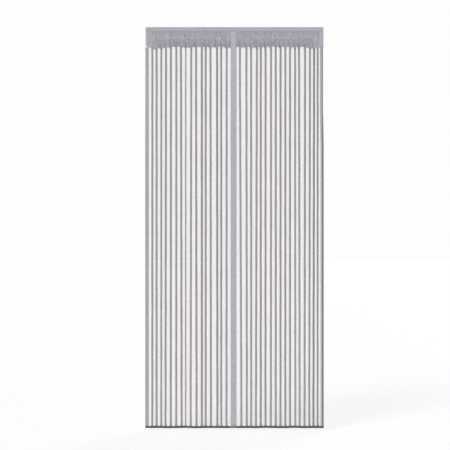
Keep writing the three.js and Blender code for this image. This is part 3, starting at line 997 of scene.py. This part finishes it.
# %% [markdown]
# The band is a fine grid that is bent by all of these at once: the gathers, small pleats, the
# creases, and the fold of the tuck, which shows as a row of light dashes that also get a painted
# highlight. The crests are painted a little lighter than the troughs, as painted highlight and
# shade. The top edge and the end at the door frame are tucked between the two layers of the tapes
# there, and next to the end tapes the cloth is pulled taut, so that it is calmer and painted
# lighter, with less of the painted shade. Solidify then gives the grid its thickness.

# %% The cloth of the heading band
BAND_STEP = 1.4
BAND_ROWS = 50
BAND_CLOTH = 0.7
BAND_SNUG = 0.2
TAPE_CLEARANCE = 0.03
INSIDE_TAPE = tape_low[1] + WALL + BAND_CLOTH / 2 + TAPE_CLEARANCE
CORNER_LIFT = 4
TAUT_TONE = 1.06
BandSide = namedtuple("BandSide", "seed outer_hang taut_from taut_to taut_share")
BAND_SIDES = {"left": BandSide(4.1, 9, 389, 397, 0.7), "right": BandSide(9.7, 5, 384, 392, 0.85)}


def band_creases(side, left, right):
    """The creases of one band, its own large ones first."""
    scatter = np.random.default_rng(int(BAND_SIDES[side].seed * 10))
    creases = list(END_CREASES[side])
    for kind in CREASE_KINDS:
        creases += scattered(kind, left, right, scatter)
    return creases


def lower_edge(side, x, crest, odd, broad):
    """How far the lower edge hangs below its level, which is most at the stripes and outwards."""
    outer = BAND_SIDES[side].outer_hang * ease(np.abs(x), 325, 390)
    ragged = 1.2 * np.sin(x / 2.9 + 3 * broad) + 1.5 * broad
    return 3.5 * (1 - crest) + 5 * odd - 1 + outer + ragged


def band_surface(side, x, plain_z, covered):
    """Points of the band in millimetres, and its tones, which hold painted light and shade. The end tape
    covers it beyond covered.
    """
    low, high = box_mm("heading_band_" + side)
    band_side = BAND_SIDES[side]
    crest, odd = gathers(x, PANELS[side]["ribs"], low[0], high[0])
    places = np.stack([x, 0 * x, plain_z], axis=-1).reshape(-1, 3)
    small = cloud_at(places, 7, band_side.seed).reshape(x.shape)
    broad = cloud_at(places, 24, band_side.seed + 3).reshape(x.shape)
    under_end = ease(np.abs(x), covered - 2, covered)
    hang = lower_edge(side, x, crest, odd, broad) * (1 - under_end) - CORNER_LIFT * under_end
    z = plain_z + at_level("wander", plain_z) * seam_wander(x) - at_level("scallop", plain_z) * hang

    free = ease(-z, 24, 32)
    by_end = ease(np.abs(x), band_side.taut_from, band_side.taut_to)
    calm = 1 - 0.7 * by_end * ease(-z, 66, 78)
    fold = at_level("fold", plain_z)
    pleats = 0.5 * np.sin(2 * math.pi * x / 10.7 + 2.5 * broad + z / 33)
    relief = pleats * (0.5 + fold) + 1.1 * small + crumple(band_creases(side, low[0], high[0]), x, z)
    relief *= free * calm
    fuller = 1 + 0.5 * ease(x, 370, 395)
    stand = (2.2 + 3 * odd) * fuller * calm * fold * crest + relief + 0.6 * free * broad
    seam = SEAM_LEVEL + seam_wander(x)
    dashes = seam_dashes(x)
    stand += (0.7 + 0.8 * dashes) * ridge(z, seam, 2.2) - 0.7 * ridge(z, seam - 5, 3)
    y = BAND_PLANE - np.maximum(stand, -0.9)
    y += (INSIDE_TAPE - y) * np.maximum(ease(z, TAPE_EDGE - 2.2, TAPE_EDGE - 0.2), under_end)

    taut = np.maximum(by_end * ease(-z, 46, 58), ease(np.abs(x), covered - 3, covered - 1))
    # Painted light: the levels' tone, a painted highlight on the tuck's dashes, lighter where the cloth is
    # taut, and crests painted lighter and troughs darker.
    light = at_level("tone", plain_z) + 0.09 * dashes * ridge(z, seam + 1, 4)
    light += (TAUT_TONE - light) * taut * band_side.taut_share
    light += 0.11 * np.clip(relief, -1.8, 2.4)
    return np.stack([x, y, z], axis=-1), light


def heading_band(side):
    """The gathered cloth that stands for one band's node, tucked BAND_TUCK under its end tape."""
    low, high = box_mm("heading_band_" + side)
    covered = max(abs(low[0]), abs(high[0])) - END_SPREAD[side]
    inner = min(low[0], high[0], key=abs)
    ends = sorted((math.copysign(covered + BAND_TUCK, inner), inner - math.copysign(BAND_SNUG, inner)))
    columns = int((ends[1] - ends[0]) / BAND_STEP) + 1
    x, row = np.meshgrid(np.linspace(*ends, columns), np.linspace(0, 1, BAND_ROWS))
    plain_z = BAND_LEVELS[0].z + (BAND_LEVELS[-1].z - BAND_LEVELS[0].z) * row
    points, light = band_surface(side, x, plain_z, covered)
    index = np.arange(x.size).reshape(x.shape)
    faces = np.stack([index[:-1, :-1], index[1:, :-1], index[1:, 1:], index[:-1, 1:]], axis=-1)
    piece = new_piece(f"heading_band_{side}_cloth", points, faces.reshape(-1, 4).tolist(), band_cloth)
    set_tone(piece, light.ravel())
    apply_modifier(piece, "SOLIDIFY", thickness=BAND_CLOTH * MM, offset=0)
    finish_piece(piece, "gathered_band_cloth", "heading_band_" + side)
    return piece


bands = {side: heading_band(side) for side in PANELS}

# %% [markdown]
# The sewing is real geometry too. One stitch is modelled from a small sphere drawn out to a grain
# of thread, and then copied along each seam. A ray finds the cloth's surface under each stitch, so
# that it sits half sunk in the cloth, as a pulled stitch does.

# %% One stitch
STITCH_LENGTH = 3.2
STITCH_PITCH = 5.0
STITCH_RADIUS = 0.42

bpy.ops.object.select_all(action="DESELECT")
bpy.ops.mesh.primitive_uv_sphere_add(segments=6, ring_count=3, radius=MM)
stitch = bpy.context.object
stitch.name = "stitch"
bpy.ops.object.mode_set(mode="EDIT")
bpy.ops.mesh.select_all(action="SELECT")
bpy.ops.transform.rotate(value=math.pi / 2, orient_axis="Y", center_override=(0, 0, 0))
bpy.ops.transform.resize(value=(STITCH_LENGTH / 2, STITCH_RADIUS, STITCH_RADIUS))
bpy.ops.object.mode_set(mode="OBJECT")
stitch_points = points_of(stitch)
stitch_faces = [list(p.vertices) for p in stitch.data.polygons]
print("one stitch measures", np.round(np.ptp(stitch_points, axis=0), 2), "mm")
bpy.data.objects.remove(stitch)

# %% [markdown]
# The tapes are sewn near their open edges, through all layers, and so the stitches show in front
# and behind. The casings of the strips are sewn along both edges, on the face that shows.


# %% Seams of the tapes and strips
def spaced(corners):
    """Points a stitch apart along a line through these corners, in x and z."""
    corners = np.array(corners, float)
    steps = np.linalg.norm(np.diff(corners, axis=0), axis=1)
    along = np.concatenate([[0], np.cumsum(steps)])
    at = np.arange(STITCH_PITCH / 2, along[-1], STITCH_PITCH)
    return np.stack([np.interp(at, along, corners[:, k]) for k in range(2)], axis=1)


def sew(name, seams):
    """Joins the stitches of some seams. A seam is its cloth, its line in x and z, and its face."""
    points, faces = [], []
    for cloth, line, face in seams:
        places = spaced(line)
        turn = np.gradient(places, axis=0)
        outwards = Vector((0, -1 if face == "front" else 1, 0))
        for (x, z), (run_x, run_z) in zip(places, turn):
            start = Vector((x, 0, z)) * MM + outwards * 0.05
            hit, place, normal, _ = cloth.ray_cast(start, -outwards)
            if not hit:
                continue
            run = Vector((run_x, 0, run_z)).normalized()
            aside = normal.cross(run).normalized()
            axes = np.array([aside.cross(normal), aside, normal])
            faces += [[i + len(points) * len(stitch_points) for i in f] for f in stitch_faces]
            points.append(np.array(place) / MM + stitch_points @ axes)
    piece = new_piece(name, np.array(points), faces, sewing_thread)
    face_outwards(piece)
    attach(piece, "root")
    print(name, "has", len(points), "stitches")
    return piece


def both_faces(cloth, line):
    """The same seam on the front and on the back."""
    return [(cloth, line, "front"), (cloth, line, "back")]


bpy.context.view_layer.update()
TAPE_SEAM = TAPE_EDGE + 3.2
EDGE_INSET = 2.6
STRIP_INSET = 2.1
sew(
    "heading_tape_stitches",
    both_faces(top_tape, [(-HALF + 4, TAPE_SEAM), (HALF - 4, TAPE_SEAM)]),
)
edge_seams = []
for node, cloth in edge_tapes.items():
    low, high = box_mm(node)
    inner = high[0] - EDGE_INSET if low[0] < 0 else low[0] + EDGE_INSET
    edge_seams += both_faces(cloth, [(inner, high[2] - 4), (inner, low[2] + 3)])
sew("edge_tape_stitches", edge_seams)
strip_seams = []
for cloth, face in ((front_strip, "front"), (back_strip, "back")):
    for seam_x in (STRIP_LEFT + STRIP_INSET, STRIP_RIGHT - STRIP_INSET):
        strip_seams.append((cloth, [(seam_x, STRIP_TOP - 2), (seam_x, STRIP_FOOT + 2)], face))
sew("closing_strip_stitches", strip_seams)

# %% [markdown]
# The tuck's seam wanders up and down a little, on both faces of the band. The net's hem has one
# row of stitches near its turned edge, in thread as dark as the doubled net.

# %% Seams of the band and of the hem
HEM_THREAD_TONE = 0.3
HEM_SEAM = HEM_TOP - 2.6
band_seams = []
for side, cloth in bands.items():
    low, high = box_mm("heading_band_" + side)
    along = np.arange(low[0] + 3, high[0] - 2, 2.0)
    band_seams += both_faces(cloth, np.stack([along, SEAM_LEVEL + seam_wander(along)], axis=1))
sew("heading_band_stitches", band_seams)
hem_seams = []
for side, cloth in hems.items():
    ends = (-HALF + 2, STRIP_LEFT - 2) if side == "left" else (STRIP_RIGHT + 2, HALF - 2)
    hem_seams += both_faces(cloth, [(ends[0], HEM_SEAM), (ends[1], HEM_SEAM)])
hem_sewing = sew("net_hem_stitches", hem_seams)
set_tone(hem_sewing, HEM_THREAD_TONE)

# %% [markdown]
# A folded tape was cut twice as wide as it lies, a strip's casing has its rims to cover, and a
# gathered band was cut longer than it hangs. A net panel is mostly holes, so its area is given as
# that of the stripes alone, with the threads of its ground and its hem as pieces on it. Here the
# boxes of the edge tapes' and the bands' nodes are read once more.


for node, piece in edge_tapes.items():
    low, high = box_mm(node)
for side, cloth in bands.items():
    low, high = box_mm("heading_band_" + side)
